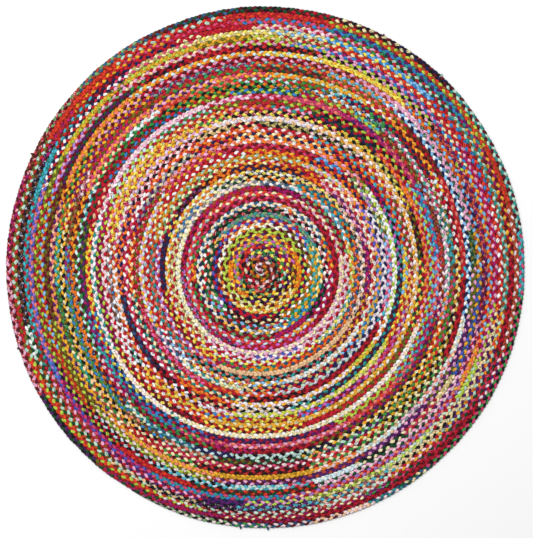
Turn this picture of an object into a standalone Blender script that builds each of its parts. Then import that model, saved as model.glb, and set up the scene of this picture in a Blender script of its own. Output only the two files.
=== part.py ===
"""Round braided rug, made as one solid.

Two flat braids of rag strips start side by side in the middle, and are coiled
outwards together, each row laced to the one before it. So the rug has a flat
underside and a top of low, round ridges that follow a double spiral. The rim
is the side of the last row. Both braids end at the lower left: the inner one
runs out under the outer one, which goes on a little and thins out at the rim.

World frame: origin on the floor under the middle of the rug, +Z up. The rug's
tail lies at TAIL_ANGLE, counted from +X towards +Y, and the braids are coiled
clockwise from the middle outwards, as seen from above.
"""

import math

import bmesh
import bpy

# Driving sizes, in metres unless the name says otherwise.
DIAMETER = 1.500              # mean width of the rug
BRAIDS = 2                    # braids that are coiled side by side
TURNS = 24                    # turns of the pair of braids
CREST_HEIGHT = 0.0090         # floor to the crest of a row
SEAM_HEIGHT = 0.0058          # floor to the laced seam between two rows
OUTLINE_STRETCH = 0.0036      # share by which the outline is longer along Y than round

# The start of the coil.
START_X = -0.0085             # the coil starts a little off the rug's middle
START_Y = -0.0050
START_ROW = 0.40              # inner radius of the first turn, in rows
OVAL_SHARE = 0.20             # how much longer than wide the first turn is
OVAL_ANGLE = math.radians(130.0)
OVAL_ROWS = 3.0               # rows over which the oval rounds out

# The ends of the two braids, as shares of the last turn.
TAIL_ANGLE = math.radians(231.0)
INNER_THINS = 0.88            # where the inner braid starts to thin
INNER_ENDS = 0.95             # where it has run out
OUTER_THINS = 0.92            # where the outer braid starts to thin, down to 1.0

# The rim, from the floor up to the top of the last row.
RIM_TUCK = 0.0016             # how far the underside stops short of the rim
RIM_LOW = 0.0020              # height at which the side has its full width
RIM_HIGH = 0.0066             # height at which the side starts to turn in

# Corners of the faceted solid along one turn.
STEPS = 40

# Unevenness of the hand-laced edge: waves around the rug, how far they push
# the edge out, and where the first of them peaks.
EDGE_WAVES = (
    {"waves": 3, "push": 0.0008, "peak": math.radians(96.0)},
    {"waves": 5, "push": 0.0006, "peak": math.radians(50.0)},
    {"waves": 9, "push": 0.0005, "peak": math.radians(12.0)},
    {"waves": 14, "push": 0.0004, "peak": math.radians(20.0)},
)

COTTON_COLOUR = (0.36, 0.16, 0.11, 1.0)
COTTON_ROUGHNESS = 0.92

FULL_TURN = 2.0 * math.pi


def clear_scene():
    """Remove every object, so that the scene holds the rug alone."""
    for old in list(bpy.data.objects):
        bpy.data.objects.remove(old, do_unlink=True)


def ease(value, low, high):
    """Go from 0 at low to 1 at high, with flat ends."""
    share = min(max((value - low) / (high - low), 0.0), 1.0)
    return share * share * (3.0 - 2.0 * share)


def edge_radius(angle):
    """Radius of the rug's outline: near round, with low uneven waves."""
    radius = 0.5 * DIAMETER * (1.0 - OUTLINE_STRETCH * math.cos(2.0 * angle))
    for wave in EDGE_WAVES:
        radius += wave["push"] * math.cos(wave["waves"] * (angle - wave["peak"]))
    return radius


def rows_across(past_tail):
    """Rows from the middle to the rim, at a share of a turn past the tail.

    The count grows by one row for each braid as the last turn goes round, and
    falls back where the two braids thin.
    """
    thinned = ease(past_tail, INNER_THINS, INNER_ENDS) + ease(past_tail, OUTER_THINS, 1.0)
    return BRAIDS * (TURNS + past_tail) - thinned


def coil_place(turn, row):
    """Place on the floor plan at a turn along the coil, a number of rows out.

    The share of the outline's radius is the row over the rows across. The
    first turns are oval, and their centre slides from the coil's start to the
    middle of the rug.
    """
    angle = TAIL_ANGLE - FULL_TURN * turn
    share = row / rows_across(turn % 1.0)
    oval = OVAL_SHARE * math.exp(-row / OVAL_ROWS)
    radius = edge_radius(angle) * share
    radius *= 1.0 + oval * math.cos(2.0 * (angle - OVAL_ANGLE))
    x = START_X * (1.0 - share) + radius * math.cos(angle)
    y = START_Y * (1.0 - share) + radius * math.sin(angle)
    return x, y


def seam_rows(turn):
    """Rows from the middle to the pair's inner seam, middle seam and outer seam."""
    inner = max(BRAIDS * turn, START_ROW + (BRAIDS - START_ROW) * turn)
    past = turn - (TURNS - 1.0)
    inner_width = 1.0 - ease(past, INNER_THINS, INNER_ENDS)
    outer_width = 1.0 - ease(past, OUTER_THINS, 1.0)
    if turn < 1.0:
        inner_width = 0.5 * (BRAIDS * (turn + 1.0) - inner)
        outer_width = inner_width
    return inner, inner + inner_width, inner + inner_width + outer_width


def add_corner(mesh, turn, row, height):
    """Add one corner of the top to the mesh."""
    x, y = coil_place(turn, row)
    return mesh.verts.new((x, y, height))


def add_crest(mesh, turn, low_row, high_row):
    """Add the crest between two seams, lower where the braid is thin."""
    width = min(high_row - low_row, 1.0)
    height = RIM_HIGH + (CREST_HEIGHT - RIM_HIGH) * width
    return add_corner(mesh, turn, 0.5 * (low_row + high_row), height)


def add_half(mesh, low, high):
    """Add the slope between two lines of corners, low one inside."""
    for step in range(min(len(low), len(high)) - 1):
        ring = (low[step], low[step + 1], high[step + 1], high[step])
        corners = [corner for spot, corner in enumerate(ring) if corner not in ring[:spot]]
        if len(corners) > 2:
            mesh.faces.new(corners)


def add_top(mesh):
    """Add the seams and crests of the coil, and the slopes between them.

    Returns the corners of the rim's upper edge, in the coil's order.
    """
    last = TURNS * STEPS
    inner_end = last - STEPS + round(INNER_ENDS * STEPS)

    rim = [add_corner(mesh, TURNS - 1 + step / STEPS, rows_across(step / STEPS), RIM_HIGH)
           for step in range(STEPS)]
    inner = [add_corner(mesh, step / STEPS, seam_rows(step / STEPS)[0], SEAM_HEIGHT)
             for step in range(last)]
    inner_line = inner + [rim[0]]
    outer_line = inner[STEPS:] + rim + [rim[0]]

    middle_line = []
    low_crests = []
    high_crests = []
    for step in range(last):
        turn = (step if step else 0.5) / STEPS
        low, middle, high = seam_rows(turn)
        if step < inner_end:
            middle_line.append(add_corner(mesh, turn, middle, SEAM_HEIGHT))
            low_crests.append(add_crest(mesh, turn, low, middle))
        else:
            middle_line.append(inner_line[step])
            low_crests.append(inner_line[step])
        high_crests.append(add_crest(mesh, turn, middle, high))
    for line in (middle_line, low_crests, high_crests):
        line.append(rim[0])

    for low, high in ((inner_line, low_crests), (low_crests, middle_line),
                      (middle_line, high_crests), (high_crests, outer_line)):
        add_half(mesh, low, high)

    mesh.faces.new((inner[0], low_crests[0], middle_line[0]))
    mesh.faces.new((middle_line[0], high_crests[0], inner[STEPS]))
    for step in range(1, STEPS):
        mesh.faces.new((inner[0], inner[step + 1], inner[step]))
    mesh.faces.new((inner[0], middle_line[0], inner[STEPS]))
    return rim


def add_side(mesh, rim):
    """Add the rug's side under the rim, and its flat underside."""
    low = [mesh.verts.new((corner.co.x, corner.co.y, RIM_LOW)) for corner in rim]
    floor = []
    for corner in rim:
        radius = math.hypot(corner.co.x, corner.co.y)
        share = 1.0 - RIM_TUCK / radius
        floor.append(mesh.verts.new((corner.co.x * share, corner.co.y * share, 0.0)))
    for upper, lower in ((rim, low), (low, floor)):
        for step in range(STEPS):
            after = (step + 1) % STEPS
            mesh.faces.new((upper[step], upper[after], lower[after], lower[step]))
    mesh.faces.new(floor)


def cotton_material():
    """Matt cotton in the mean colour of the rags."""
    material = bpy.data.materials.new("rag_cotton")
    material.use_nodes = True
    shader = material.node_tree.nodes["Principled BSDF"]
    shader.inputs["Base Color"].default_value = COTTON_COLOUR
    shader.inputs["Roughness"].default_value = COTTON_ROUGHNESS
    shader.inputs["Metallic"].default_value = 0.0
    return material


def build_rug():
    """Make the rug's solid and link it to the scene."""
    mesh = bmesh.new()
    rim = add_top(mesh)
    add_side(mesh, rim)
    bmesh.ops.triangulate(mesh, faces=list(mesh.faces))
    data = bpy.data.meshes.new("braided_rug")
    mesh.to_mesh(data)
    mesh.free()
    data.shade_smooth()
    data.set_sharp_from_angle(angle=math.radians(60.0))
    data.materials.append(cotton_material())
    rug = bpy.data.objects.new("braided_rug", data)
    bpy.context.scene.collection.objects.link(rug)


clear_scene()
build_rug()
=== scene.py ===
"""Braided rug: two braids of cotton rag strips, coiled side by side and laced edge to edge.

Each braid is three strands in a flat plait. A strand is one closed, softly
flattened tube of rag after another, each spliced to the next where the cloth
changes. The cloths are charted row by row from the rim inwards.
"""

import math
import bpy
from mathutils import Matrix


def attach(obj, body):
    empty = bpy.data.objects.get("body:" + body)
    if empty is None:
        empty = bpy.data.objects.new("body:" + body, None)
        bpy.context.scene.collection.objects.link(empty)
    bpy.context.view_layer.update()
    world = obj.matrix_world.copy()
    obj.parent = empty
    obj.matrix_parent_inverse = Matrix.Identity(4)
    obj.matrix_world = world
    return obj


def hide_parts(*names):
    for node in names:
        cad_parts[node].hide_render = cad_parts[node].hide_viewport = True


bl_info = {
    "name": "Braided Rug",
    "version": (1, 0, 0),
    "blender": (4, 5, 0),
    "location": "View3D > Sidebar > Braided Rug",
    "description": "Builds a round rug of coiled rag braid around its CAD frame",
    "category": "Add Mesh",
}

import bpy
import numpy as np
from bpy.props import FloatProperty, FloatVectorProperty, IntProperty, PointerProperty

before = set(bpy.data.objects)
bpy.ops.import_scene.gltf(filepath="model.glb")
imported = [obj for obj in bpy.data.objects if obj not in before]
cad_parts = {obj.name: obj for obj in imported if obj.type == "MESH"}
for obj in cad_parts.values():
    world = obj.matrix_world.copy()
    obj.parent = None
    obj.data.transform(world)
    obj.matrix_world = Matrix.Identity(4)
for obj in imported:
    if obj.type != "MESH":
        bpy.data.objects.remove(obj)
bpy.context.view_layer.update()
CAD_NODE = "braided_rug"
BODY = "root"

FULL_TURN = 2.0 * math.pi
STRANDS = 3
SEED = 20260

# The outline and the coil, as the CAD has them.
BRAIDS = 2
OUTLINE_STRETCH = 0.0036
START_X = -0.0085
START_Y = -0.0050
OVAL_SHARE = 0.20
OVAL_ANGLE = math.radians(130.0)
OVAL_ROWS = 3.0
TAIL_DEGREES = 231.0
TAIL_ANGLE = math.radians(TAIL_DEGREES)
INNER_THINS = 0.88
INNER_ENDS = 0.95
OUTER_THINS = 0.92
EDGE_WAVES = (
    {"waves": 3, "push": 0.0008, "peak": math.radians(96.0)},
    {"waves": 5, "push": 0.0006, "peak": math.radians(50.0)},
    {"waves": 9, "push": 0.0005, "peak": math.radians(12.0)},
    {"waves": 14, "push": 0.0004, "peak": math.radians(20.0)},
)

# Share by which the rows are drawn in, so that the lobes of the last one keep to the outline.
DRAWN_IN = 0.9978

# Width of a full row, the least share of it that a thinned end has, and the
# rows over which the lacing's unevenness fades out in the middle and at the rim.
ROW_WIDTH = 0.0152
THINNEST = 0.16
CORE_ROWS = 2.0
RIM_ROWS = 3.5

# Where the lacing is loose or tight: the angle and the row from the middle, how
# many degrees and rows it spreads to each side, and how far it pushes rows out.
LACING = (
    {"angle": 270.0, "spread": 22.0, "row": 24.0, "rows": 40.0, "push": 0.0112},
    {"angle": 222.0, "spread": 26.0, "row": 7.0, "rows": 8.0, "push": 0.0075},
    {"angle": 195.0, "spread": 16.0, "row": 9.0, "rows": 6.0, "push": 0.0030},
    {"angle": 78.0, "spread": 18.0, "row": 23.5, "rows": 5.5, "push": -0.0075},
    {"angle": 225.0, "spread": 13.0, "row": 31.0, "rows": 4.5, "push": 0.0049},
    {"angle": 140.0, "spread": 15.0, "row": 39.0, "rows": 6.5, "push": 0.0049},
    {"angle": 205.0, "spread": 28.0, "row": 45.0, "rows": 5.0, "push": -0.0043},
    {"angle": 92.0, "spread": 13.0, "row": 45.0, "rows": 8.0, "push": -0.0040},
    {"angle": 338.0, "spread": 20.0, "row": 30.0, "rows": 40.0, "push": 0.0032},
    {"angle": 172.0, "spread": 12.0, "row": 32.5, "rows": 5.0, "push": 0.0029},
    {"angle": 48.0, "spread": 20.0, "row": 16.0, "rows": 6.0, "push": -0.0026},
    {"angle": 15.0, "spread": 14.0, "row": 40.0, "rows": 5.0, "push": -0.0023},
    {"angle": 110.0, "spread": 30.0, "row": 12.0, "rows": 5.0, "push": -0.0017},
)

# The rag pieces: the record's finish and the cloths that each one holds.
RAG_PIECES = {
    "crimson_rags": {"slot": "red_cotton", "cloths": ("crimson",)},
    "scarlet_rags": {"slot": "red_cotton", "cloths": ("scarlet", "red", "brick")},
    "maroon_rags": {"slot": "red_cotton", "cloths": ("maroon",)},
    "rose_rags": {"slot": "pink_cotton", "cloths": ("magenta", "rose", "hotpink", "orchid")},
    "pink_rags": {"slot": "pink_cotton", "cloths": ("pink", "blush")},
    "salmon_rags": {"slot": "orange_cotton", "cloths": ("salmon", "peach", "tan")},
    "orange_rags": {"slot": "orange_cotton", "cloths": ("orange",)},
    "brown_rags": {"slot": "orange_cotton", "cloths": ("rust", "brown")},
    "gold_rags": {"slot": "yellow_cotton", "cloths": ("gold", "yellow", "ochre")},
    "cream_rags": {"slot": "white_cotton", "cloths": ("cream", "khaki")},
    "white_rags": {"slot": "white_cotton", "cloths": ("white",)},
    "lime_rags": {"slot": "green_cotton", "cloths": ("lime", "olive")},
    "green_rags": {"slot": "green_cotton", "cloths": ("green", "sage", "mint", "forest")},
    "aqua_rags": {"slot": "blue_cotton", "cloths": ("ice", "aqua", "teal")},
    "blue_rags": {"slot": "blue_cotton", "cloths": ("sky", "blue", "steel", "royal", "navy")},
    "purple_rags": {"slot": "purple_cotton", "cloths": ("plum", "lilac", "mauve")},
    "dark_rags": {"slot": "dark_cotton", "cloths": ("black", "grey")},
}

# Corners of a strand's section, in degrees from its right side: rounded above,
# with a single keel below.
SECTION = np.radians((-10.0, 42.0, 90.0, 138.0, 190.0, 270.0))
SIDES = len(SECTION)
SPOTS = np.arange(SIDES)
AFTER = (SPOTS + 1) % SIDES

# The weave: how far ahead the inner braid is, as a share of a plait; the share of
# the full sway at the coil's start and the rows over which it grows; and the
# share of the full height that a braid thinned to nothing has.
INNER_AHEAD = 0.37
START_SWAY = 0.45
START_ROWS = 1.1
THIN_HEIGHT = 0.35
FLOOR_GAP = 0.0002            # how far the lowest strands stay off the floor

# Hand work isn't even: the lengths of its waves along a braid, and how far they
# reach, as radians of the weave, as metres aside, or as a share of a size.
WAVERS = {
    "drift": {"waves": (0.61, 0.273, 0.127), "reach": 0.75},
    "aside": {"waves": (0.37, 0.161), "reach": 0.0005},
    "sway": {"waves": (0.19, 0.083), "reach": 0.10},
    "width": {"waves": (0.117, 0.051, 0.023), "reach": 0.20},
    "height": {"waves": (0.151, 0.067, 0.029), "reach": 0.14},
}

# The turn at which each braid of the pair starts, the steps of a turn that its
# line is measured in, how short of the last turn it stops, and how far out its
# width is probed, in half widths.
FIRST_TURNS = (-0.25, -0.75)
TURN_STEPS = 720
SHORT_STOP = 1e-6
PROBE = 0.2

# Rag ends that stick out at the rim: the angle, how far past the edge, and the cloth.
LOOSE_ENDS = (
    {"angle": 47.5, "reach": 0.0045, "cloth": "mint"},
    {"angle": 63.0, "reach": 0.0030, "cloth": "maroon"},
    {"angle": 154.0, "reach": 0.0050, "cloth": "maroon"},
    {"angle": 198.0, "reach": 0.0035, "cloth": "maroon"},
    {"angle": 264.5, "reach": 0.0045, "cloth": "steel"},
    {"angle": 270.5, "reach": 0.0045, "cloth": "steel"},
)
END_TUCKED = 0.0080           # length of a loose end that is held inside the rim
END_DRIFT = 0.0015            # how far its tip bends to the side
END_RINGS = 7
END_TIP = 0.35                # its section at the tip, as a share of a rag's
END_SWELL = 0.45              # how much more of it there is at the root

# Cloths with a small print: its colour, and how many strips in a hundred carry it.
PRINTS = {
    "navy": {"ink": "white", "share": 20},
    "black": {"ink": "white", "share": 10},
    "maroon": {"ink": "pink", "share": 15},
    "crimson": {"ink": "white", "share": 12},
    "olive": {"ink": "cream", "share": 20},
    "forest": {"ink": "mint", "share": 10},
    "white": {"ink": "sky", "share": 15},
    "cream": {"ink": "salmon", "share": 15},
    "blush": {"ink": "rose", "share": 20},
    "plum": {"ink": "pink", "share": 20},
    "teal": {"ink": "cream", "share": 15},
    "orange": {"ink": "yellow", "share": 15},
    "gold": {"ink": "crimson", "share": 10},
}

# Dyeing: how far strips of one cloth differ in level and fade towards grey, how
# well a print covers, and the share of its level that a plain strip's ink has.
LEVEL_SPREAD = 0.16
FADE_MOST = 0.05
INK_COVER = 0.55
PLAIN_TONE = 0.80

# Cotton jersey: how fine the noise of its folds and prints is, to a metre along a
# strip and to a turn around it, and that of its knit, to a metre.
FOLD_SCALE = (110.0, 5.0, 1.0)
PRINT_SCALE = (190.0, 4.0, 1.0)
KNIT_SCALE = 900.0

# How high folds and knit stand, the strength of that relief, and the cloth's gloss.
FOLD_HEIGHT = 0.0010
KNIT_HEIGHT = 0.00025
RELIEF = 0.6
SHINE = 0.25
ROUGH = {"least": 0.80, "knit": 0.16}

# Painted shade, darkening the cloth's colour: from the low height over the floor
# to the high one, and from the groove of a fold to its side, the colour goes from
# the least share of the dye to all of it.
LOW_PAINTED_SHADE = {"low": 0.0034, "high": 0.0076, "least": 0.26}
CREASE_PAINTED_SHADE = {"low": 0.34, "high": 0.47, "least": 0.40}
# Painted light and shade on the folds: the colour is scaled by least plus fold times the fold
# noise, a painted highlight on the crests and painted shade in the grooves.
FOLD_LIGHT = {"least": 0.72, "fold": 0.52}

# A print covers the cloth where its noise passes from low to high.
PRINT_EDGE = {"low": 0.50, "high": 0.62, "least": 0.0, "most": 0.85}

# The stage: half the floor's side, the lamp overhead, and the camera's sensor.
FLOOR_HALF = 6.0
FLOOR_SHADE = 0.95
FLOOR_ROUGHNESS = 0.9
LAMP_ACROSS = 3.0
LAMP_PLACE = (-1.2, 1.6, 4.2)
LAMP_TURN = (math.radians(-21.0), math.radians(-15.0), 0.0)
SENSOR = 36.0
VIEW_END = 30.0

# A band's cell in the map for baking: rows to columns, the edge left free, and
# the radius of an end's outline in it.
CELL_SHAPE = 4.4
CELL_EDGE = 0.04
CAP_RADIUS = 0.4

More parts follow.
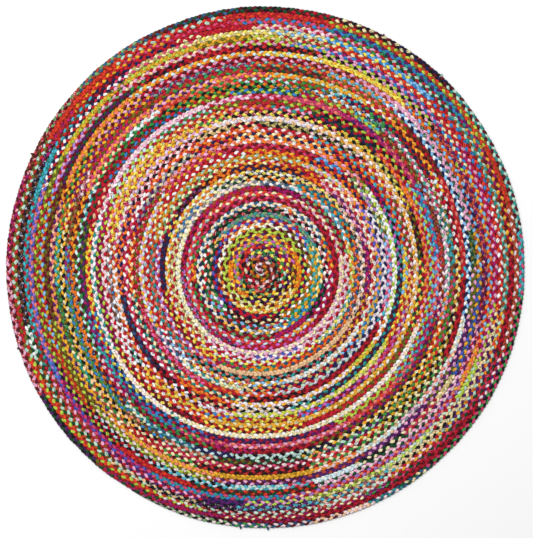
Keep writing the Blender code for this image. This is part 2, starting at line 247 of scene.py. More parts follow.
# The cloths of the three strands, a paragraph for each row from the rim inwards.
# Rows take turns: the outer braid of the pair, then the inner one. A stop
# is an angle in degrees, counted from +X towards +Y, and the three cloths that
# run on from there. Each row starts at the tail and goes round once, and its
# braid goes on in the row after the next.
CHART = """
231 green black steel, 240 sage black blush, 262 blush steel green, 271 blush maroon steel,
281 blush maroon peach, 288 blush peach blush, 294 steel teal blush, 302 forest steel cream,
310 black green rose, 355 teal rose aqua, 8 teal mint maroon, 45 black maroon navy,
53 black navy cream, 60 black maroon cream, 75 maroon crimson forest, 84 maroon forest black,
95 forest steel maroon, 112 steel brown maroon, 118 steel sage brick, 138 crimson sage maroon,
148 crimson brown maroon, 157 crimson magenta maroon, 180 crimson pink maroon,
210 forest black plum, 228 olive brown black

250 crimson maroon magenta, 280 crimson crimson maroon, 328 plum blush crimson,
340 blush brick rust, 15 scarlet rust red, 30 scarlet rust lime, 75 red crimson scarlet,
98 crimson scarlet mint, 125 scarlet red scarlet, 150 red mint olive, 188 red crimson olive,
197 mint olive red, 201 scarlet red lime

231 forest crimson magenta, 245 magenta crimson magenta, 260 magenta crimson cream,
293 magenta plum green, 300 rose forest crimson, 340 crimson maroon crimson,
4 gold crimson maroon, 20 gold magenta maroon, 28 gold magenta teal, 36 teal blue plum,
75 blue rose brick, 98 crimson rose crimson, 112 gold crimson rose, 125 scarlet gold crimson,
140 red magenta red, 150 navy maroon magenta, 157 navy black brown, 193 mint forest white,
203 mint forest rust

231 scarlet red lime, 245 lime white red, 251 mint lime crimson, 257 mint maroon crimson,
282 mint blush brick, 300 gold crimson blush, 316 gold mint plum, 325 orange plum mint,
341 gold mint scarlet, 350 mint teal rust, 40 forest mint crimson, 60 crimson pink green,
72 blush pink crimson, 80 cream crimson pink, 94 crimson crimson red, 104 crimson cream crimson,
113 crimson navy red, 125 crimson navy maroon, 137 aqua brown red, 150 aqua teal aqua,
163 aqua teal crimson, 196 crimson brown teal, 206 pink crimson rust

231 peach mint brown, 240 black tan black, 255 black plum black, 262 aqua black plum,
282 aqua maroon tan, 302 cream black tan, 322 cream plum tan, 345 plum cream orange,
350 crimson white scarlet, 15 crimson scarlet blue, 45 sky blue sky, 52 sky blue yellow,
75 khaki sky cream, 90 khaki yellow cream, 108 cream rose khaki, 125 navy rose white,
129 white navy crimson, 160 royal salmon lilac, 203 royal lilac blue, 208 royal rose magenta

231 plum pink crimson, 256 plum navy plum, 266 plum lime pink, 280 lime cream olive,
300 mint cream lime, 316 mint cream crimson, 325 lime mint lime, 336 lime magenta pink,
350 magenta pink crimson, 33 red crimson cream, 40 cream red scarlet, 75 cream red olive,
85 cream ochre lime, 95 ochre gold olive, 108 gold ochre lime, 128 pink ochre olive,
131 ochre gold lime, 150 olive lime olive, 163 lime crimson olive, 203 lime black magenta,
220 crimson lime black

231 royal magenta rose, 242 blue teal rose, 275 lilac peach crimson, 282 crimson lilac salmon,
328 orange salmon gold, 340 orange sky crimson, 8 crimson gold sky, 25 crimson cream blue,
40 magenta blue pink, 75 blue pink lime, 85 lime pink crimson, 98 pink crimson cream,
128 crimson pink sage, 145 pink lilac crimson, 160 ochre sky crimson, 204 rust ochre red,
219 ice black crimson

231 red scarlet crimson, 252 scarlet maroon forest, 284 pink forest blush, 320 pink plum blush,
332 pink crimson plum, 345 plum crimson maroon, 5 plum brick crimson, 25 plum lime crimson,
30 plum brick crimson, 40 pink black lime, 75 black brown red, 80 red maroon black,
95 red maroon crimson, 110 maroon black crimson, 122 red green maroon, 127 maroon forest plum,
157 olive maroon brown, 193 lime olive brown, 219 lime blush olive

231 ice black crimson, 240 aqua ice black, 262 aqua ice mint, 276 crimson aqua pink,
284 ice white ice, 296 cream forest black, 310 cream crimson rose, 322 khaki cream tan,
332 gold royal steel, 0 sky gold rust, 10 navy sky brick, 22 orange brick sky,
50 yellow gold yellow, 75 yellow gold ice, 92 gold orange ice, 128 gold salmon orange,
158 maroon orange gold, 163 peach plum salmon, 184 gold plum salmon, 197 gold plum gold,
225 gold orange blush

231 blush lime olive, 256 brick pink plum, 261 pink plum maroon, 280 plum brick plum,
298 plum pink plum, 320 olive pink plum, 332 plum pink plum, 345 olive olive pink,
0 forest olive forest, 12 pink forest pink, 42 pink blush pink, 52 pink brick pink,
65 brick maroon pink, 80 crimson maroon pink, 125 pink maroon gold, 143 green gold maroon,
160 green gold brick, 170 aqua green gold, 186 green olive forest, 203 teal cream green,
215 green cream brick

231 gold salmon gold, 258 gold ochre gold, 283 orange peach blush, 298 white ice tan,
310 grey pink blush, 320 salmon ice blush, 335 white ice cream, 345 white sky navy,
50 sky white crimson, 54 teal orange sky, 70 crimson orange teal, 95 crimson teal plum,
125 crimson gold plum, 160 gold cream crimson, 170 gold cream black, 200 gold black peach

231 cream crimson red, 243 green maroon cream, 250 black maroon red, 283 green cream red,
297 green cream maroon, 333 crimson red maroon, 358 aqua red crimson, 3 crimson salmon red,
28 maroon crimson brown, 45 red olive salmon, 73 brick forest maroon, 92 brick green crimson,
122 red olive brown, 132 red olive magenta, 150 maroon crimson blush, 160 olive brick brown,
172 magenta olive blue, 184 olive blue green, 225 brown olive salmon

231 cream crimson black, 240 cream rose crimson, 262 blush maroon rose, 283 white crimson salmon,
298 gold cream crimson, 308 cream ochre black, 345 cream maroon gold, 8 white maroon crimson,
22 gold crimson ice, 30 orange maroon gold, 48 gold white crimson, 60 gold mint gold,
75 gold mint orange, 90 gold rose salmon, 105 pink gold plum, 125 rose salmon gold,
157 orange maroon gold, 180 orange navy orange, 210 orange steel maroon, 225 ice teal cream

231 olive brown blue, 240 brown mint salmon, 255 olive maroon forest, 265 forest mint maroon,
283 salmon gold forest, 290 green mint plum, 310 olive gold green, 322 green gold red,
337 green olive rose, 352 rust teal rose, 0 teal aqua brown, 10 teal blush olive,
20 olive crimson blush, 28 brown crimson navy, 45 crimson navy green, 60 aqua navy crimson,
67 white aqua olive, 71 olive green red, 82 green ice red, 97 scarlet salmon green,
115 scarlet salmon red, 126 white salmon ice, 130 white green ice, 138 crimson green cream,
155 ice maroon teal, 165 ice maroon green, 210 crimson magenta blush, 225 crimson green maroon

231 ice teal steel, 248 ice navy navy, 262 mint black ice, 283 navy black cream,
293 cream gold black, 330 orange cream red, 345 orange pink teal, 352 teal white pink,
10 teal blush navy, 20 white rose teal, 48 teal navy green, 55 orange navy ice,
75 navy orange green, 90 orange black green, 125 green forest crimson, 136 crimson green maroon,
150 crimson forest crimson, 165 forest plum olive, 180 forest plum magenta, 195 magenta aqua plum,
207 aqua magenta teal, 218 magenta teal plum

231 crimson green maroon, 256 crimson magenta maroon, 268 crimson maroon crimson,
285 crimson olive maroon, 296 crimson plum olive, 345 plum rose blush, 352 rust maroon blush,
0 rust maroon red, 10 rust maroon brown, 20 maroon blush rust, 27 brown sky olive,
30 olive red brown, 50 olive aqua lime, 62 lime red olive, 72 crimson magenta lime,
80 blue lime forest, 100 lime olive crimson, 115 blue forest crimson, 130 crimson blue brown,
150 crimson peach crimson, 168 crimson yellow gold, 196 crimson yellow blue, 210 blue navy yellow

231 magenta teal blue, 240 salmon magenta green, 250 rose magenta salmon, 260 salmon pink rose,
298 salmon scarlet rose, 320 rose teal salmon, 330 rose magenta aqua, 345 rose salmon sky,
5 blue rose aqua, 28 magenta rose salmon, 45 magenta rose plum, 62 rose salmon rose,
85 rose pink crimson, 95 pink rose blush, 105 crimson pink blush, 113 blush pink blush,
150 blush rose white, 165 white teal blush, 207 blush white cream

231 navy blue crimson, 243 blue plum crimson, 252 plum crimson navy, 285 crimson magenta plum,
295 lime crimson lime, 323 lime crimson sky, 30 lime crimson black, 72 lime olive crimson,
85 crimson olive red, 100 crimson lime olive, 108 crimson ice green, 130 crimson ice lime,
157 crimson lime magenta, 170 magenta lime maroon, 210 crimson yellow maroon

231 cream blush white, 239 cream teal white, 242 cream cream white, 300 white blush cream,
340 pink crimson orange, 350 salmon orange crimson, 22 orange salmon orange,
30 crimson orange salmon, 45 forest navy crimson, 75 teal pink crimson, 88 crimson rose orange,
95 crimson pink orange, 105 orange cream crimson, 130 yellow blush gold, 155 yellow pink orange,
165 blush crimson blush, 207 white crimson blush, 218 orange white crimson

231 maroon yellow maroon, 238 maroon maroon crimson, 247 scarlet yellow maroon,
285 crimson red crimson, 300 red crimson olive, 320 olive crimson olive,
337 crimson yellow forest, 5 olive black maroon, 22 yellow gold plum, 31 olive black yellow,
45 yellow black gold, 60 crimson yellow black, 105 yellow green crimson, 113 yellow gold crimson,
172 white grey brick, 186 blue grey brick, 191 grey brown white, 203 white crimson blush,
210 white black teal, 216 white brick black, 220 yellow gold crimson

231 orange crimson white, 248 gold cream gold, 320 gold white gold, 345 peach white gold,
70 mauve peach white, 113 mauve gold pink, 150 mauve cream rose, 170 white orange crimson,
180 white orange blush, 203 white crimson orange, 210 orange crimson blush

231 yellow crimson gold, 248 crimson gold blue, 262 yellow ochre crimson, 285 blue crimson orchid,
297 orchid crimson plum, 312 crimson peach orchid, 323 orchid crimson rose,
335 peach crimson lilac, 345 crimson peach gold, 0 crimson olive blush, 30 crimson blush gold,
50 black olive blush, 75 khaki black olive, 90 crimson cream black, 103 black peach khaki,
118 black crimson blush, 152 navy crimson orange, 192 navy maroon steel, 222 crimson maroon black

231 mauve maroon gold, 245 mauve crimson white, 258 mauve lime yellow, 300 yellow lime cream,
330 orange yellow crimson, 350 yellow gold sky, 10 orange crimson aqua, 68 crimson blush red,
90 orange scarlet blush, 145 blush crimson white, 160 crimson white rose

231 black white crimson, 238 black tan crimson, 262 black white tan, 275 maroon black white,
282 teal black white, 290 navy teal maroon, 0 teal black orchid, 30 magenta crimson navy,
40 navy orange crimson, 60 navy orange cream, 100 navy crimson orange, 120 cream black grey,
135 plum cream grey, 150 plum grey crimson, 165 crimson cream orange, 190 teal cream maroon

231 orange crimson orange, 255 white gold blush, 310 gold lime yellow, 327 white orange white,
335 white lime white, 38 salmon pink olive, 50 orange pink orange, 62 orange white salmon,
105 pink crimson orange, 142 crimson olive crimson, 200 crimson rose crimson,
208 hotpink crimson crimson

231 teal scarlet cream, 245 maroon teal cream, 262 maroon black red, 285 crimson maroon crimson,
335 crimson aqua blush, 345 sky rose pink, 15 teal olive cream, 30 lilac pink sage,
38 sage maroon cream, 50 sky blue crimson, 66 crimson rose maroon, 108 crimson gold rose,
145 ice gold pink, 208 pink steel white

231 crimson hotpink crimson, 245 orange red crimson, 262 mauve orange red, 275 mauve mint crimson,
300 mint mauve navy, 320 mauve navy white, 33 orange red navy, 66 orange crimson gold,
97 red crimson white, 148 red orange cream, 160 crimson scarlet ice, 213 white ice crimson,
217 sky maroon white

231 ice teal cream, 248 mint khaki cream, 262 navy khaki scarlet, 275 khaki crimson navy,
315 sky scarlet navy, 325 blue gold khaki, 345 gold blue pink, 10 gold pink royal,
33 cream orange pink, 46 mint pink gold, 70 ochre orange mint, 168 teal brick salmon

231 white gold crimson, 262 sky gold white, 280 ice white peach, 325 cream ice crimson,
340 crimson peach white, 60 crimson gold crimson, 80 blush gold crimson, 86 gold crimson cream,
115 crimson sage cream, 165 crimson blush lilac

231 black teal salmon, 275 black crimson teal, 310 crimson gold maroon, 345 magenta crimson plum,
17 plum pink crimson, 45 crimson crimson pink, 57 orange crimson orange, 65 orange maroon navy,
110 orange maroon orange, 125 maroon plum black, 150 yellow crimson navy, 163 navy maroon navy,
195 yellow maroon crimson

231 peach crimson lilac, 245 peach peach tan, 335 peach blush black, 42 yellow peach black,
70 yellow white black, 103 orange yellow white, 195 gold white crimson

231 yellow crimson gold, 245 scarlet magenta green, 262 gold orange teal,
280 orange scarlet steel, 315 crimson steel orange, 20 maroon orange teal, 30 teal orange steel,
70 cream orange black, 100 forest grey cream, 118 orange cream white, 140 cream grey blue,
165 cream crimson khaki

231 crimson white yellow, 310 yellow teal white, 345 cream orange lime, 16 aqua orange white,
30 aqua grey white, 48 aqua blush orange, 70 steel grey white, 97 cream blush grey,
150 cream cream white

231 pink white crimson, 262 pink white royal, 295 pink blush crimson, 345 blush crimson blush,
16 maroon crimson sage, 60 magenta maroon magenta, 84 magenta rust crimson,
135 crimson maroon magenta, 180 orchid crimson navy

231 cream pink blush, 345 cream pink cream, 10 cream pink crimson, 65 rose cream scarlet,
135 rose mint scarlet

231 crimson navy magenta, 250 crimson orchid crimson, 310 crimson maroon crimson,
35 crimson rose maroon, 155 crimson rose green, 175 gold orange crimson, 187 crimson maroon green

231 ice scarlet rose, 300 ice orange gold, 312 white magenta crimson, 3 gold scarlet steel,
30 white cream steel, 65 white cream orange, 73 white cream steel, 165 white cream navy,
205 peach navy white

231 maroon crimson sage, 280 magenta crimson magenta, 315 forest black magenta,
345 black crimson white, 80 black crimson forest, 155 red white forest, 205 crimson sky green

231 peach gold navy, 250 gold white grey, 290 teal blue gold, 335 gold teal cream,
18 teal sage grey, 50 peach crimson teal, 62 teal grey sage, 135 teal gold peach,
148 forest peach forest, 205 white green lilac

231 crimson sky forest, 275 khaki sky crimson, 290 crimson white aqua, 300 gold aqua green,
345 aqua gold sage, 25 royal peach aqua, 45 peach crimson royal, 150 navy crimson royal

231 cream maroon black, 290 white olive orange, 10 white maroon olive, 60 white cream maroon,
95 orange white cream, 145 white maroon cream, 180 orange cream maroon

231 crimson navy crimson, 278 navy crimson lime, 30 lime maroon lime, 215 cream maroon lime

231 orange cream yellow, 330 orange gold orange, 20 yellow orange crimson, 60 yellow orange plum,
160 orange gold orange, 190 plum yellow orange, 215 orange yellow orange

231 maroon lime cream, 262 maroon cream gold, 345 maroon gold olive, 20 gold maroon orchid,
40 gold orchid sage, 210 sage gold maroon

231 black yellow black, 245 yellow plum black, 345 plum brick yellow, 30 plum yellow crimson,
75 crimson plum scarlet, 120 white crimson black, 135 crimson scarlet black,
200 forest crimson forest

231 sage gold black, 290 green maroon gold, 305 mint maroon red, 345 sage red green,
10 green yellow black, 135 yellow lilac black, 160 maroon cream blush, 185 black white crimson

231 crimson forest salmon, 275 forest brick black, 50 plum forest salmon, 110 orange brick black,
160 orange olive maroon

231 blush maroon salmon, 285 brick blush maroon, 345 blush rust maroon, 80 blush pink maroon,
160 salmon blush olive
""".strip().split("\n\n")


def linear(level):
    """Turn a screen level of 0 to 255 into the linear share that a shader takes."""
    share = level / 255.0
    return share / 12.92 if share <= 0.04045 else ((share + 0.055) / 1.055) ** 2.4


def dye(name, red, green, blue):
    """Make the property that holds a cloth's colour."""
    return FloatVectorProperty(
        name=name, description="Colour of the " + name.lower() + " rags", subtype="COLOR",
        size=3, min=0.0, max=1.0, default=(linear(red), linear(green), linear(blue)))


def length(name, words, default):
    """Make the property that holds a length in metres."""
    return FloatProperty(name=name, description=words, default=default, min=0.0,
                         precision=4, subtype="DISTANCE", unit="LENGTH")


class RagSizes(bpy.types.PropertyGroup):
    """Sizes of the braid and its strands."""

    diameter: length("Diameter", "Mean width of the rug", 1.500)
    turns: IntProperty(name="Turns", description="Turns of the pair of braids",
                       default=24, min=2)
    period: length("Plait length", "Length of braid in which a strand weaves once over", 0.0400)
    sway: length("Sway", "How far a strand swings to each side of the braid's middle", 0.0053)
    lift: length("Lift", "How far a strand rises and dips about mid height", 0.0024)
    rag_width: length("Rag width", "Width of a folded rag strip", 0.0090)
    rag_height: length("Rag height", "Thickness of a folded rag strip", 0.0044)
    middle: length("Mid height", "Height of the braid's middle over the floor", 0.0045)
    roll: FloatProperty(name="Roll", description="How far a strand leans outwards at its turns",
                        default=math.radians(24.0), subtype="ANGLE", unit="ROTATION")
    rings: IntProperty(name="Rings", description="Rings of corners in one plait length",
                       default=9, min=6)
    unevenness: FloatProperty(name="Unevenness", description="How uneven the hand work is",
                              default=1.0, min=0.0, max=2.0, subtype="FACTOR")


class RagDyes(bpy.types.PropertyGroup):
    """Colours of the rag cloths."""

    crimson: dye("Crimson", 190, 12, 42)
    scarlet: dye("Scarlet", 228, 62, 28)
    red: dye("Red", 205, 38, 35)
    brick: dye("Brick", 190, 72, 48)
    maroon: dye("Maroon", 100, 14, 30)
    magenta: dye("Magenta", 168, 15, 105)
    rose: dye("Rose", 214, 66, 112)
    hotpink: dye("Hot pink", 238, 95, 165)
    orchid: dye("Orchid", 208, 100, 188)
    pink: dye("Pink", 240, 170, 205)
    blush: dye("Blush", 252, 224, 226)
    salmon: dye("Salmon", 243, 132, 112)
    peach: dye("Peach", 252, 202, 155)
    tan: dye("Tan", 232, 200, 150)
    orange: dye("Orange", 243, 125, 20)
    rust: dye("Rust", 165, 72, 25)
    brown: dye("Brown", 112, 62, 28)
    gold: dye("Gold", 243, 178, 40)
    yellow: dye("Yellow", 243, 226, 88)
    ochre: dye("Ochre", 202, 155, 22)
    cream: dye("Cream", 248, 236, 182)
    khaki: dye("Khaki", 208, 188, 115)
    white: dye("White", 252, 250, 247)
    lime: dye("Lime", 190, 214, 70)
    olive: dye("Olive", 112, 108, 22)
    green: dye("Green", 60, 150, 72)
    sage: dye("Sage", 125, 172, 112)
    forest: dye("Forest green", 26, 78, 46)
    mint: dye("Mint", 190, 225, 205)
    ice: dye("Ice blue", 212, 238, 243)
    aqua: dye("Aqua", 70, 180, 200)
    teal: dye("Teal", 45, 150, 145)
    sky: dye("Sky blue", 132, 192, 238)
    blue: dye("Blue", 54, 134, 203)
    steel: dye("Steel blue", 48, 95, 132)
    royal: dye("Royal blue", 78, 88, 192)
    navy: dye("Navy", 35, 35, 85)
    plum: dye("Plum", 92, 28, 104)
    lilac: dye("Lilac", 168, 118, 204)
    mauve: dye("Mauve", 232, 216, 238)
    black: dye("Black", 26, 21, 26)
    grey: dye("Grey", 142, 142, 152)


class RugStage(bpy.types.PropertyGroup):
    """The floor, the lights and the camera."""

    view_height: length("Camera height", "Height of the camera over the floor", 4.0)
    view_across: length("View across", "Width of floor along Y that the camera sees", 1.551)
    view_x: FloatProperty(name="Camera X", description="Where the camera looks, along X",
                          default=0.0030, subtype="DISTANCE", unit="LENGTH")
    view_y: FloatProperty(name="Camera Y", description="Where the camera looks, along Y",
                          default=-0.0042, subtype="DISTANCE", unit="LENGTH")
    sky: FloatProperty(name="Room light", description="Strength of the light from all round",
                       default=0.55, min=0.0)
    lamp: FloatProperty(name="Lamp power", description="Power of the soft lamp overhead",
                        default=150.0, min=0.0, subtype="POWER", unit="POWER")


def ease(value, low, high):
    """Go from 0 at low to 1 at high, with flat ends: the cubic 3s^2 - 2s^3."""
    share = np.clip((value - low) / (high - low), 0.0, 1.0)
    return share * share * (3.0 - 2.0 * share)


def edge_radius(angle, diameter):
    """Radius of the outline: half the diameter, a cosine of twice the angle, and low waves."""
    radius = 0.5 * diameter * (1.0 - OUTLINE_STRETCH * np.cos(2.0 * angle))
    for wave in EDGE_WAVES:
        radius = radius + wave["push"] * np.cos(wave["waves"] * (angle - wave["peak"]))
    return radius


def coil_place(turn, row, sizes):
    """Place on the floor plan at a turn along the coil, a number of rows out.

    The share of the outline's radius is the row over the rows across, which
    grow by one for each braid in a turn and fall back where the braids thin.
    The first rows are oval, and their centre slides from the coil's start to
    the middle of the rug. Where the lacing is loose or tight, the rows are
    pushed out or drawn in by a bell curve of the angle and the row, which
    fades towards the rim.
    """
    past = turn % 1.0
    thinned = ease(past, INNER_THINS, INNER_ENDS) + ease(past, OUTER_THINS, 1.0)
    across = BRAIDS * (sizes.turns + past) - thinned
    share = row / across
    angle = TAIL_ANGLE - FULL_TURN * turn
    oval = OVAL_SHARE * np.exp(-row / OVAL_ROWS)
    radius = DRAWN_IN * edge_radius(angle, sizes.diameter) * share
    radius = radius * (1.0 + oval * np.cos(2.0 * (angle - OVAL_ANGLE)))
    fade = ease(row, 0.0, CORE_ROWS) * ease(across - row, 0.0, RIM_ROWS)
    for bell in LACING:
        aside = np.degrees(angle) - bell["angle"]
        aside = (aside + 180.0) % 360.0 - 180.0
        reach = (aside / bell["spread"]) ** 2 + ((row - bell["row"]) / bell["rows"]) ** 2
        radius = radius + fade * bell["push"] * np.exp(-0.5 * reach)
    x = START_X * (1.0 - share) + radius * np.cos(angle)
    y = START_Y * (1.0 - share) + radius * np.sin(angle)
    return x, y


def waver(kind, run, chance, sizes):
    """A smooth random line along a run: the mean of sines with random starts."""
    waves = WAVERS[kind]["waves"]
    line = np.zeros_like(run)
    for wave in waves:
        line = line + np.sin(FULL_TURN * (run / wave + chance.random()))
    return WAVERS[kind]["reach"] * sizes.unevenness * line / len(waves)


def braid_line(arm, sizes):
    """Middle line of one braid of the pair, in even steps of length.

    It runs midway between the braid's two seams, and their distance is its
    width. The dense line is measured by its summed chords, and read off again
    at even lengths. Returns turns, places, widths as shares, rows and lengths.
    """
    turn = np.linspace(FIRST_TURNS[arm], sizes.turns - SHORT_STOP, sizes.turns * TURN_STEPS)
    past = turn - (sizes.turns - 1.0)
    inner = 1.0 - ease(past, INNER_THINS, INNER_ENDS)
    outer = 1.0 - ease(past, OUTER_THINS, 1.0)
    low = BRAIDS * turn + inner * arm
    high = low + (outer if arm else inner)
    row = np.maximum(0.5 * (low + high), 0.0)
    half = 0.5 * (high - low)
    x, y = coil_place(turn, row, sizes)
    near_x, near_y = coil_place(turn, row + PROBE * half, sizes)
    width = np.hypot(near_x - x, near_y - y) / (0.5 * PROBE * ROW_WIDTH)
    width = np.where(row < CORE_ROWS, 1.0, width)
    run = np.concatenate(([0.0], np.cumsum(np.hypot(np.diff(x), np.diff(y)))))
    total = run[width > THINNEST][-1]
    even = np.arange(0.0, total, sizes.period / sizes.rings)
    place = np.stack([np.interp(even, run, x), np.interp(even, run, y)], axis=1)
    return (np.interp(even, run, turn), place, np.interp(even, run, width),
            np.interp(even, run, row), even)


def unit(vectors):
    """Vectors of length one along the last axis."""
    return vectors / np.linalg.norm(vectors, axis=-1, keepdims=True)


def strand_rings(arm, strand, sizes, line, chance):
    """Rings of corners along one strand of a braid.

    Across the braid the strand goes as the sine of its phase, and up and down
    as the sine of twice the phase; the three strands are a third of a plait
    apart. Each ring is a flattened section, square to the strand, that leans
    outwards in step with the sine.
    """
    place, width, row, run = line[1:]
    phase = FULL_TURN * (run / sizes.period + strand / STRANDS + INNER_AHEAD * arm)
    shared = np.random.default_rng(SEED + arm)
    phase = phase + waver("drift", run, shared, sizes)
    ahead = unit(np.gradient(place, axis=0))
    right = np.stack([ahead[:, 1], -ahead[:, 0]], axis=1)
    core = ease(row, 0.0, START_ROWS)
    sway = sizes.sway * width * (START_SWAY + (1.0 - START_SWAY) * core)
    sway = sway * (1.0 + waver("sway", run, chance, sizes))
    swing = np.sin(phase)
    flat = place + right * (sway * swing)[:, None]
    flat = flat + right * waver("aside", run, shared, sizes)[:, None]
    thin = THIN_HEIGHT + (1.0 - THIN_HEIGHT) * width
    height = sizes.middle * thin + sizes.lift * thin * np.sin(2.0 * phase)
    spine = np.concatenate([flat, height[:, None]], axis=1)
    along = unit(np.gradient(spine, axis=0))
    side = unit(np.cross(along, (0.0, 0.0, 1.0)))
    up = np.cross(side, along)
    lean = sizes.roll * swing
    across = side * np.cos(lean)[:, None] - up * np.sin(lean)[:, None]
    above = up * np.cos(lean)[:, None] + side * np.sin(lean)[:, None]
    wide = 0.5 * sizes.rag_width * width * (1.0 + waver("width", run, chance, sizes))
    tall = 0.5 * sizes.rag_height * thin * (1.0 + waver("height", run, chance, sizes))
    rings = spine[:, None, :] + across[:, None, :] * (wide[:, None] * np.cos(SECTION))[:, :, None]
    rings = rings + above[:, None, :] * (tall[:, None] * np.sin(SECTION))[:, :, None]
    rings[:, :, 2] = np.maximum(rings[:, :, 2], FLOOR_GAP)
    return rings


def read_row(text):
    """Read one row of the chart: (degrees past the tail, three cloths) for each stop."""
    stops = []
    for stop in text.split(","):
        words = stop.split()
        past = (float(words[0]) - TAIL_DEGREES) % 360.0
        stops.append((past, words[1:]))
    return stops


def match_strands(held, cloths):
    """Share a stop's three cloths out, so that a cloth that goes on keeps its strand."""
    left = list(cloths)
    shared = [None] * STRANDS
    for strand in range(STRANDS):
        if held[strand] in left:
            shared[strand] = held[strand]
            left.remove(held[strand])
    for strand in range(STRANDS):
        if shared[strand] is None:
            shared[strand] = left.pop(0)
    return shared


def braid_chart(arm):
    """Cloth changes of each strand of a braid, from the tail inwards.

    Returns a list for each strand, of (degrees wound back from the tail, cloth).
    """
    changes = [[] for _ in range(STRANDS)]
    held = [None] * STRANDS
    rows = CHART[1 - arm::BRAIDS]
    for ring, text in enumerate(rows):
        for past, cloths in read_row(text):
            held, before = match_strands(held, cloths), held
            for strand in range(STRANDS):
                if held[strand] != before[strand]:
                    changes[strand].append((360.0 * ring + past, held[strand]))
    return changes


def strand_strips(changes, line, sizes, chance):
    """Cut a strand into strips: (first ring, last ring, cloth), each spliced to the next.

    A change at so many degrees wound back from the tail is looked up among the
    rings by its turn, and set off by up to half a plait either way.
    """
    turn, run = line[0], line[4]
    cuts = []
    for wound, cloth in changes:
        ring = int(np.searchsorted(turn, sizes.turns - wound / 360.0))
        ring += int(round((chance.random() - 0.5) * sizes.rings))
        cuts.append((min(max(ring, 0), len(run) - 1), cloth))
    strips = []
    last = len(run) - 1
    for spot, (ring, cloth) in enumerate(cuts):
        stop = last if spot == 0 else min(ring, last)
        follow = cuts[spot + 1][0] if spot + 1 < len(cuts) else 0
        follow = min(follow, stop)
        if stop - follow >= 1:
            strips.append((follow, stop, cloth))
        last = follow
    return strips


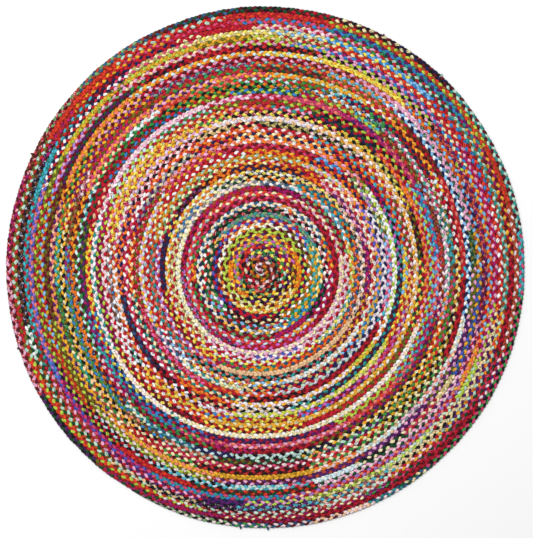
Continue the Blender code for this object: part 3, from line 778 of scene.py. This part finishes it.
class RagMesh:
    """Gathers the strips of one rag piece, and turns them into one mesh."""

    def __init__(self):
        self.rings = []
        self.runs = []
        self.dyes = []
        self.inks = []
        self.steps = []

    def add(self, rings, run, colour, ink):
        """Add one strip: its rings of corners, the run along it, and its two colours."""
        self.rings.append(rings)
        self.runs.append(run)
        self.dyes.append(colour)
        self.inks.append(ink)
        self.steps.append(len(rings) - 1)

    def build(self, name):
        """Make the mesh: bands of quads between rings, and a flat end at both ends."""
        steps = np.array(self.steps)
        first = np.concatenate(([0], np.cumsum(steps + 1)))[:-1]
        last = first + steps
        band = np.concatenate([start + np.arange(count) for start, count in zip(first, steps)])
        near = band[:, None] * SIDES
        far = near + SIDES
        quads = np.stack([near + SPOTS, far + SPOTS, far + AFTER, near + AFTER], axis=2)
        ends = np.concatenate([first[:, None] * SIDES + SPOTS, last[:, None] * SIDES + SPOTS[::-1]])
        mesh = bpy.data.meshes.new(name)
        self.fill(mesh, quads, ends)
        self.paint(mesh, "dye", self.dyes, steps)
        self.paint(mesh, "ink", self.inks, steps)
        self.map_runs(mesh, band, np.concatenate([first, last]))
        self.map_cells(mesh, len(band), len(ends))
        mesh.uv_layers["rag_run"].active = True
        mesh.validate()
        return mesh

    def fill(self, mesh, quads, ends):
        """Put the corners, the quads and then the ends into the mesh."""
        places = np.concatenate(self.rings).reshape(-1)
        loops = np.concatenate([quads.reshape(-1), ends.reshape(-1)])
        count = len(quads) * SIDES
        starts = np.concatenate([np.arange(count) * 4, count * 4 + np.arange(len(ends)) * SIDES])
        mesh.vertices.add(len(places) // 3)
        mesh.vertices.foreach_set("co", places.astype(np.float32))
        mesh.loops.add(len(loops))
        mesh.loops.foreach_set("vertex_index", loops.astype(np.int32))
        mesh.polygons.add(len(starts))
        mesh.polygons.foreach_set("loop_start", starts.astype(np.int32))
        mesh.update(calc_edges=True)
        mesh.polygons.foreach_set("use_smooth", np.arange(len(starts)) < count)

    def map_runs(self, mesh, band, tip):
        """Lay out the run map: metres along the strip, and shares of the way around it."""
        runs = np.concatenate(self.runs)
        share = SPOTS / SIDES
        run = np.stack([runs[band], runs[band + 1], runs[band + 1], runs[band]], axis=1)
        side = np.stack([share, share, share + 1 / SIDES, share + 1 / SIDES], axis=1)
        shape = (len(band), SIDES, 4)
        quad_map = (np.broadcast_to(run[:, None, :], shape), np.broadcast_to(side, shape))
        shape = (len(tip), SIDES)
        end_map = (np.broadcast_to(runs[tip][:, None], shape), np.broadcast_to(share, shape))
        self.lay_out(mesh, "rag_run", quad_map, end_map)

    def map_cells(self, mesh, bands, ends):
        """Lay out the map for baking, where each band and each end has a cell of its own."""
        rows = max(int(math.sqrt((bands + ends) / CELL_SHAPE)), 1)
        columns = -(-(bands + ends) // rows)
        cell = np.arange(bands)[:, None, None]
        along = np.array((0.0, 1.0, 1.0, 0.0))
        around = np.stack([SPOTS, SPOTS, SPOTS + 1, SPOTS + 1], axis=1) / SIDES
        band_u = np.broadcast_to((cell % columns + along) / columns, (bands, SIDES, 4))
        band_v = (cell // columns + CELL_EDGE + (1.0 - 2.0 * CELL_EDGE) * around) / rows
        cell = (bands + np.arange(ends))[:, None]
        turn = FULL_TURN * SPOTS / SIDES
        end_u = (cell % columns + 0.5 + CAP_RADIUS * np.cos(turn)) / columns
        end_v = (cell // columns + 0.5 + CAP_RADIUS * np.sin(turn)) / rows
        self.lay_out(mesh, "OFBake", (band_u, band_v), (end_u, end_v))

    @staticmethod
    def paint(mesh, name, colours, steps):
        """Give each strip its colour, as an attribute of its corners."""
        layer = mesh.color_attributes.new(name=name, type="FLOAT_COLOR", domain="POINT")
        values = np.repeat(np.array(colours), (steps + 1) * SIDES, axis=0)
        values = np.concatenate([values, np.ones((len(values), 1))], axis=1)
        layer.data.foreach_set("color", values.astype(np.float32).reshape(-1))

    @staticmethod
    def lay_out(mesh, name, quads, ends):
        """Fill a UV map from the places of the quads' corners and the ends' corners."""
        layer = mesh.uv_layers.new(name=name)
        flat = np.concatenate([np.stack(quads, axis=-1).reshape(-1, 2),
                               np.stack(ends, axis=-1).reshape(-1, 2)])
        layer.data.foreach_set("uv", flat.astype(np.float32).reshape(-1))


def strip_colours(cloth, dyes, chance):
    """A strip's dye and its print's ink: the cloth's colour, a little lighter or darker.

    The level is scaled by a random share, and moved a little towards its own
    grey. A plain strip's ink is a deeper tone of the dye.
    """
    colour = np.array(getattr(dyes, cloth)[:])
    level = 1.0 + LEVEL_SPREAD * (chance.random() - 0.5)
    fade = FADE_MOST * chance.random()
    grey = colour.mean()
    colour = np.clip((colour * (1.0 - fade) + grey * fade) * level, 0.0, 1.0)
    printed = PRINTS.get(cloth)
    if printed and chance.random() * 100.0 < printed["share"]:
        ink = INK_COVER * np.array(getattr(dyes, printed["ink"])[:]) + (1.0 - INK_COVER) * colour
    else:
        ink = colour * PLAIN_TONE
    return colour, ink


class Wire:
    """A shader socket that takes part in sums, and adds a Math node for each."""

    def __init__(self, tree, socket):
        self.tree = tree
        self.socket = socket

    def math(self, operation, first, second):
        """Add a Math node for two values or sockets."""
        return add_node(self.tree, "ShaderNodeMath", {"operation": operation},
                        {0: first, 1: second})

    def __add__(self, other):
        return self.math("ADD", self, other)

    def __radd__(self, other):
        return self.math("ADD", other, self)

    def __mul__(self, other):
        return self.math("MULTIPLY", self, other)

    def __rmul__(self, other):
        return self.math("MULTIPLY", other, self)


def add_node(tree, kind, settings=None, inputs=None, output=0):
    """Add a node: settings first, then a value or a wire for each socket named or numbered."""
    node = tree.nodes.new(kind)
    for name, value in (settings or {}).items():
        setattr(node, name, value)
    for key, value in (inputs or {}).items():
        if isinstance(value, Wire):
            tree.links.new(value.socket, node.inputs[key])
        else:
            node.inputs[key].default_value = value
    return Wire(tree, node.outputs[output])


def bare_material(name):
    """A new material with nothing but its shader, and the shader."""
    material = bpy.data.materials.new(name)
    material.use_nodes = True
    return material, material.node_tree.nodes["Principled BSDF"]


def noise(tree, where, dimensions, scale, detail):
    """Noise of 0 to 1 at a place."""
    return add_node(tree, "ShaderNodeTexNoise", {"noise_dimensions": dimensions},
                    {"Vector": where, "Scale": scale, "Detail": detail}, output=0)


def ramp(tree, value, low, high, least, most=1.0):
    """Go from least, where the value is low, to most, where it is high, with flat ends."""
    return add_node(tree, "ShaderNodeMapRange", {"interpolation_type": "SMOOTHSTEP"},
                    {"Value": value, "From Min": low, "From Max": high,
                     "To Min": least, "To Max": most})


def rag_material(name):
    """Soft cotton jersey, cut in strips and folded: its colours come from the strip.

    Folds run along the strip as noise drawn out lengthwise, knit shows as fine
    noise, and the print as spots of noise on the strip's own map. Light and shade
    are painted into the colour: painted shade in the grooves of its folds and low
    down between the strands, and a painted highlight on the folds' crests.
    """
    material, shader = bare_material(name)
    tree = material.node_tree
    run = add_node(tree, "ShaderNodeUVMap", {"uv_map": "rag_run"}, output="UV")
    colour = add_node(tree, "ShaderNodeAttribute", {"attribute_name": "dye"}, output="Color")
    ink = add_node(tree, "ShaderNodeAttribute", {"attribute_name": "ink"}, output="Color")
    drawn = add_node(tree, "ShaderNodeMapping", inputs={"Vector": run, "Scale": FOLD_SCALE})
    folds = noise(tree, drawn, "2D", 1.0, 2.0)
    printed = add_node(tree, "ShaderNodeMapping", inputs={"Vector": run, "Scale": PRINT_SCALE})
    spots = ramp(tree, noise(tree, printed, "2D", 1.0, 1.0), **PRINT_EDGE)
    body = add_node(tree, "ShaderNodeTexCoord", output="Object")
    knit = noise(tree, body, "3D", KNIT_SCALE, 1.0)
    inked = add_node(tree, "ShaderNodeMix", {"data_type": "RGBA"},
                     {"Factor": spots, 6: colour, 7: ink}, output=2)
    height = add_node(tree, "ShaderNodeSeparateXYZ", inputs={"Vector": body}, output="Z")
    # Painted shade: the colour darkens low down between the strands, where shade falls.
    low_painted_shade = ramp(tree, height, **LOW_PAINTED_SHADE)
    # Painted shade in the grooves of the folds.
    crease_painted_shade = ramp(tree, folds, **CREASE_PAINTED_SHADE)
    # Painted highlight on the folds' crests and painted shade in their grooves, times the painted
    # shade above.
    painted_light_and_shade = (FOLD_LIGHT["least"] + FOLD_LIGHT["fold"] * folds) * (low_painted_shade * crease_painted_shade)
    # The cloth's colour, darkened and lightened by the painted light and shade.
    painted_shade_colour = add_node(tree, "ShaderNodeVectorMath", {"operation": "SCALE"},
                     {0: inked, "Scale": painted_light_and_shade})
    rough = ROUGH["least"] + ROUGH["knit"] * knit
    relief = folds * FOLD_HEIGHT + knit * KNIT_HEIGHT
    bump = add_node(tree, "ShaderNodeBump",
                    inputs={"Height": relief, "Distance": 1.0, "Strength": RELIEF})
    tree.links.new(painted_shade_colour.socket, shader.inputs["Base Color"])
    tree.links.new(rough.socket, shader.inputs["Roughness"])
    tree.links.new(bump.socket, shader.inputs["Normal"])
    shader.inputs["Specular IOR Level"].default_value = SHINE
    return material


def finish_piece(name, mesh, material):
    """Put a piece of the rug in the scene, on the rug's body and in its CAD node's stead."""
    piece = bpy.data.objects.new(name, mesh)
    mesh.materials.append(material)
    bpy.context.scene.collection.objects.link(piece)
    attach(piece, BODY)
    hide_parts(CAD_NODE)


def loose_end(end, sizes):
    """Rings of corners of a loose rag end, and the run along it.

    Its middle line goes out from inside the rim, bends aside as the square of
    the way along, and rises and falls as half a sine. The section is square to
    it, and narrows towards the tip as the root of a falling sine.
    """
    share = np.linspace(0.0, 1.0, END_RINGS)
    angle = math.radians(end["angle"])
    run = (END_TUCKED + end["reach"]) * share
    out = edge_radius(angle, sizes.diameter) - END_TUCKED + run
    aside = END_DRIFT * share ** 2
    points = np.stack([out * math.cos(angle) - aside * math.sin(angle),
                       out * math.sin(angle) + aside * math.cos(angle),
                       sizes.middle + sizes.lift * np.sin(math.pi * share)], axis=1)
    along = unit(np.gradient(points, axis=0))
    side = unit(np.cross(along, (0.0, 0.0, 1.0)))
    up = np.cross(side, along)
    taper = END_TIP + END_SWELL * np.sin(0.5 * math.pi * (1.0 - share)) ** 0.5
    wide = 0.5 * sizes.rag_width * taper[:, None] * np.cos(SECTION)
    tall = 0.5 * sizes.rag_height * taper[:, None] * np.sin(SECTION)
    rings = points[:, None, :] + side[:, None, :] * wide[:, :, None]
    return rings + up[:, None, :] * tall[:, :, None], run


class BRAIDEDRUG_OT_rags(bpy.types.Operator):
    """Plait the rag strips of both braids, one piece for each group of cloths"""

    bl_idname = "braided_rug.rags"
    bl_label = "Plait Rag Strips"

    def execute(self, context):
        sizes = context.scene.rug_sizes
        dyes = context.scene.rug_dyes
        home = {cloth: name for name, row in RAG_PIECES.items() for cloth in row["cloths"]}
        gathered = {name: RagMesh() for name in RAG_PIECES}
        for arm in range(BRAIDS):
            chance = np.random.default_rng(SEED + 10 + arm)
            line = braid_line(arm, sizes)
            for strand, changes in enumerate(braid_chart(arm)):
                rings = strand_rings(arm, strand, sizes, line, chance)
                for start, stop, cloth in strand_strips(changes, line, sizes, chance):
                    colour, ink = strip_colours(cloth, dyes, chance)
                    part = slice(start, stop + 1)
                    gathered[home[cloth]].add(rings[part], line[4][part], colour, ink)
        chance = np.random.default_rng(SEED + 20)
        for end in LOOSE_ENDS:
            colour, ink = strip_colours(end["cloth"], dyes, chance)
            gathered[home[end["cloth"]]].add(*loose_end(end, sizes), colour, ink)
        for name, row in RAG_PIECES.items():
            mesh = gathered[name].build(name)
            finish_piece(name, mesh, rag_material(name))
        return {"FINISHED"}


def lay_floor(scene):
    """Lay the pale floor, a flat square, as part of the stage."""
    mesh = bpy.data.meshes.new("floor")
    corners = ((-1.0, -1.0), (1.0, -1.0), (1.0, 1.0), (-1.0, 1.0))
    places = [(FLOOR_HALF * x, FLOOR_HALF * y, 0.0) for x, y in corners]
    mesh.from_pydata(places, [], [(0, 1, 2, 3)])
    floor = bpy.data.objects.new("floor", mesh)
    scene.collection.objects.link(floor)
    material, shader = bare_material("pale_floor")
    shader.inputs["Base Color"].default_value = (FLOOR_SHADE, FLOOR_SHADE, FLOOR_SHADE, 1.0)
    shader.inputs["Roughness"].default_value = FLOOR_ROUGHNESS
    mesh.materials.append(material)


def light_room(scene, stage):
    """Light the room evenly from all round, and from a wide soft lamp overhead."""
    world = bpy.data.worlds.new("room")
    world.use_nodes = True
    light = world.node_tree.nodes["Background"]
    light.inputs["Color"].default_value = (1.0, 1.0, 1.0, 1.0)
    light.inputs["Strength"].default_value = stage.sky
    scene.world = world
    data = bpy.data.lights.new("soft_lamp", "AREA")
    data.shape = "DISK"
    data.size = LAMP_ACROSS
    data.energy = stage.lamp
    lamp = bpy.data.objects.new("soft_lamp", data)
    lamp.location = LAMP_PLACE
    lamp.rotation_euler = LAMP_TURN
    scene.collection.objects.link(lamp)


def set_camera(scene, stage):
    """Set the camera straight above the rug, with a lens that sees the width given."""
    lens = bpy.data.cameras.new("camera")
    lens.sensor_fit = "AUTO"
    lens.sensor_width = SENSOR
    lens.lens = SENSOR * stage.view_height / stage.view_across
    lens.clip_end = VIEW_END
    camera = bpy.data.objects.new("camera", lens)
    camera.location = (stage.view_x, stage.view_y, stage.view_height)
    scene.collection.objects.link(camera)
    scene.camera = camera


class BRAIDEDRUG_OT_stage(bpy.types.Operator):
    """Lay the floor and set up the lights and the camera"""

    bl_idname = "braided_rug.stage"
    bl_label = "Set Up Stage"

    def execute(self, context):
        scene = context.scene
        scene.view_settings.view_transform = "Standard"
        lay_floor(scene)
        light_room(scene, scene.rug_stage)
        set_camera(scene, scene.rug_stage)
        return {"FINISHED"}


class BRAIDEDRUG_PT_panel(bpy.types.Panel):
    """Sizes, colours and steps of the braided rug"""

    bl_label = "Braided Rug"
    bl_idname = "BRAIDEDRUG_PT_panel"
    bl_space_type = "VIEW_3D"
    bl_region_type = "UI"
    bl_category = "Braided Rug"

    def draw(self, context):
        layout = self.layout
        for group in (context.scene.rug_sizes, context.scene.rug_dyes, context.scene.rug_stage):
            box = layout.box()
            for name in group.__annotations__:
                box.prop(group, name)
        for step in STEPS:
            layout.operator(step.bl_idname)


STEPS = (BRAIDEDRUG_OT_rags, BRAIDEDRUG_OT_stage)
GROUPS = {"rug_sizes": RagSizes, "rug_dyes": RagDyes, "rug_stage": RugStage}
CLASSES = (*GROUPS.values(), *STEPS, BRAIDEDRUG_PT_panel)


def register():
    """Register the classes and hang the settings on the scene."""
    for each in CLASSES:
        bpy.utils.register_class(each)
    for name, group in GROUPS.items():
        setattr(bpy.types.Scene, name, PointerProperty(type=group))


def unregister():
    """Take the settings and the classes away again."""
    for name in GROUPS:
        delattr(bpy.types.Scene, name)
    for each in reversed(CLASSES):
        bpy.utils.unregister_class(each)


def main():
    """Build the rug and its stage."""
    register()
    bpy.ops.braided_rug.rags()
    bpy.ops.braided_rug.stage()


if __name__ == "__main__":
    main()
